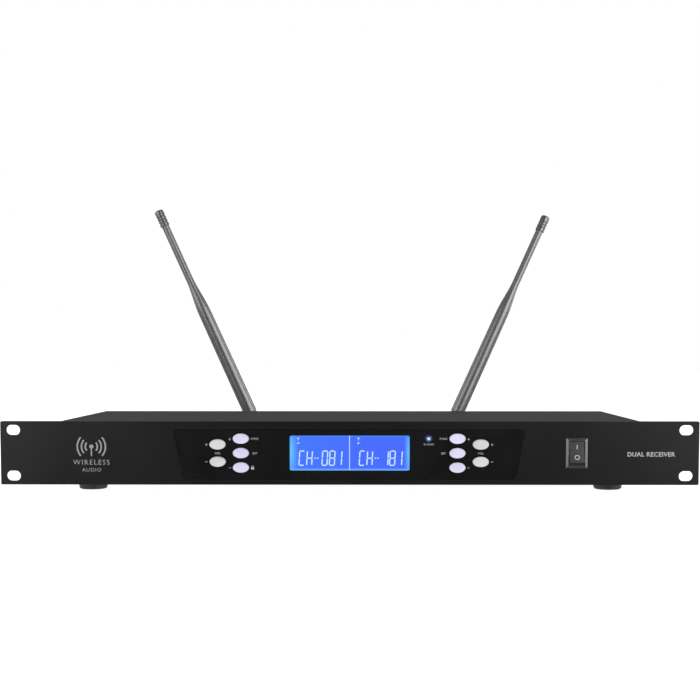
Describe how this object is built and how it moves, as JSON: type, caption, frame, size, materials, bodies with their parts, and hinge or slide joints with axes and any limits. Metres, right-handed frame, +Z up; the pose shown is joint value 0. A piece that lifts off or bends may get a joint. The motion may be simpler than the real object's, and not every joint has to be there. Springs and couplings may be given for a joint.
{
  "type": "wireless microphone receiver",
  "caption": "Black rack-mount dual wireless receiver one unit high, with a blue display in a gloss lens, soft oval keys, a rocker switch, rubber feet and two hinged whip antennas.",
  "frame": {"origin": "centre of the four rack slots, on the rear (mounting) face of the front panel", "axes": "+X to the right as seen from the front, +Y to the rear of the unit, +Z up"},
  "size_m": [0.4826, 0.2693, 0.2195],
  "materials": {
    "panel_black": "satin black powder coat",
    "case_black": "satin black paint on folded sheet",
    "lens_black": "gloss black acrylic",
    "display_blue": "blue backlit liquid crystal, white segments",
    "plated_steel": "zinc plated",
    "diffuser_white": "milky diffuser",
    "key_white": "satin off-white",
    "infrared_clear": "water clear lens",
    "switch_black": "satin black nylon",
    "terminal_brass": "tinned brass",
    "rubber_black": "matt moulded rubber",
    "screw_black": "black zinc",
    "board_green": "green solder mask",
    "component_dark": "moulded epoxy and sleeve",
    "shield_tin": "tinned sheet",
    "cable_grey": "grey ribbon",
    "cable_black": "black jacket",
    "cable_red": "red insulation",
    "nickel": "bright nickel plate",
    "socket_black": "black glass-filled nylon",
    "contact_gold": "gold flash",
    "antenna_black": "semi-gloss flexible sleeve"
  },
  "bodies": {
    "case": {"front_panel": "panel_black", "display_lens": "lens_black", "display_glass": "display_blue", "display_frame": "plated_steel", "display_backlight": "diffuser_white", "tactile_switches": "component_dark", "infrared_lens": "infrared_clear", "power_switch_housing": "switch_black", "power_switch_terminals": "terminal_brass", "chassis_tray": "case_black", "top_cover": "case_black", "front_left_foot": "rubber_black", "front_right_foot": "rubber_black", "rear_left_foot": "rubber_black", "rear_right_foot": "rubber_black", "foot_screws": "plated_steel", "panel_studs": "plated_steel", "panel_nuts": "plated_steel", "cover_screws": "screw_black", "main_board": "board_green", "board_standoffs": "contact_gold", "board_screws": "plated_steel", "board_components": "component_dark", "receiver_modules": "shield_tin", "front_board": "board_green", "front_board_posts": "contact_gold", "ribbon_cable": "cable_grey", "antenna_leads": "cable_black", "power_leads": "cable_red", "antenna_jacks": "nickel", "output_sockets": "nickel", "output_inserts": "socket_black", "socket_contacts": "contact_gold", "output_socket_screws": "screw_black", "mix_jack": "socket_black", "dc_inlet": "socket_black", "socket_nuts": "nickel", "left_antenna_plug": "nickel", "right_antenna_plug": "nickel"},
    "left_volume_up_key": {"left_volume_up_key": "key_white"},
    "left_volume_down_key": {"left_volume_down_key": "key_white"},
    "left_up_key": {"left_up_key": "key_white"},
    "left_set_key": {"left_set_key": "key_white"},
    "left_down_key": {"left_down_key": "key_white"},
    "right_up_key": {"right_up_key": "key_white"},
    "right_set_key": {"right_set_key": "key_white"},
    "right_down_key": {"right_down_key": "key_white"},
    "right_volume_up_key": {"right_volume_up_key": "key_white"},
    "right_volume_down_key": {"right_volume_down_key": "key_white"},
    "power_rocker": {"power_switch_rocker": "switch_black"},
    "left_ring": {"left_antenna_ring": "nickel"},
    "left_swivel": {"left_antenna_knuckle": "antenna_black", "left_antenna_pin": "plated_steel"},
    "left_whip": {"left_antenna_whip": "antenna_black", "left_antenna_cap": "antenna_black"},
    "right_ring": {"right_antenna_ring": "nickel"},
    "right_swivel": {"right_antenna_knuckle": "antenna_black", "right_antenna_pin": "plated_steel"},
    "right_whip": {"right_antenna_whip": "antenna_black", "right_antenna_cap": "antenna_black"}
  },
  "joints": [
    {"name": "left_volume_up_press", "type": "slide", "parent": "case", "child": "left_volume_up_key", "axis": [0, 1, 0], "range_m": [0, 0.0008], "stiffness_N_per_m": 250, "springref_m": -0.001},
    {"name": "left_volume_down_press", "type": "slide", "parent": "case", "child": "left_volume_down_key", "axis": [0, 1, 0], "range_m": [0, 0.0008], "stiffness_N_per_m": 250, "springref_m": -0.001},
    {"name": "left_up_press", "type": "slide", "parent": "case", "child": "left_up_key", "axis": [0, 1, 0], "range_m": [0, 0.0008], "stiffness_N_per_m": 250, "springref_m": -0.001},
    {"name": "left_set_press", "type": "slide", "parent": "case", "child": "left_set_key", "axis": [0, 1, 0], "range_m": [0, 0.0008], "stiffness_N_per_m": 250, "springref_m": -0.001},
    {"name": "left_down_press", "type": "slide", "parent": "case", "child": "left_down_key", "axis": [0, 1, 0], "range_m": [0, 0.0008], "stiffness_N_per_m": 250, "springref_m": -0.001},
    {"name": "right_up_press", "type": "slide", "parent": "case", "child": "right_up_key", "axis": [0, 1, 0], "range_m": [0, 0.0008], "stiffness_N_per_m": 250, "springref_m": -0.001},
    {"name": "right_set_press", "type": "slide", "parent": "case", "child": "right_set_key", "axis": [0, 1, 0], "range_m": [0, 0.0008], "stiffness_N_per_m": 250, "springref_m": -0.001},
    {"name": "right_down_press", "type": "slide", "parent": "case", "child": "right_down_key", "axis": [0, 1, 0], "range_m": [0, 0.0008], "stiffness_N_per_m": 250, "springref_m": -0.001},
    {"name": "right_volume_up_press", "type": "slide", "parent": "case", "child": "right_volume_up_key", "axis": [0, 1, 0], "range_m": [0, 0.0008], "stiffness_N_per_m": 250, "springref_m": -0.001},
    {"name": "right_volume_down_press", "type": "slide", "parent": "case", "child": "right_volume_down_key", "axis": [0, 1, 0], "range_m": [0, 0.0008], "stiffness_N_per_m": 250, "springref_m": -0.001},
    {"name": "power_rock", "type": "hinge", "parent": "case", "child": "power_rocker", "pos_m": [0.157, -0.0005, 0], "axis": [1, 0, 0], "range_deg": [0, 20]},
    {"name": "left_ring_turn", "type": "hinge", "parent": "case", "child": "left_ring", "pos_m": [-0.0805, 0.21, -0.001], "axis": [0, 1, 0], "range_deg": [0, 90]},
    {"name": "left_antenna_swivel", "type": "hinge", "parent": "case", "child": "left_swivel", "pos_m": [-0.0805, 0.22, -0.001], "axis": [0, 1, 0], "range_deg": [-65.7, 39.3]},
    {"name": "left_antenna_fold", "type": "hinge", "parent": "left_swivel", "child": "left_whip", "pos_m": [-0.0805, 0.23, -0.001], "axis": [-0.9114, 0, -0.4115], "range_deg": [0, 90]},
    {"name": "right_ring_turn", "type": "hinge", "parent": "case", "child": "right_ring", "pos_m": [0.0805, 0.21, -0.001], "axis": [0, 1, 0], "range_deg": [0, 90]},
    {"name": "right_antenna_swivel", "type": "hinge", "parent": "case", "child": "right_swivel", "pos_m": [0.0805, 0.22, -0.001], "axis": [0, 1, 0], "range_deg": [-39.7, 65.3]},
    {"name": "right_antenna_fold", "type": "hinge", "parent": "right_swivel", "child": "right_whip", "pos_m": [0.0805, 0.23, -0.001], "axis": [-0.9085, 0, 0.4179], "range_deg": [-7.7, 82.3]}
  ]
}
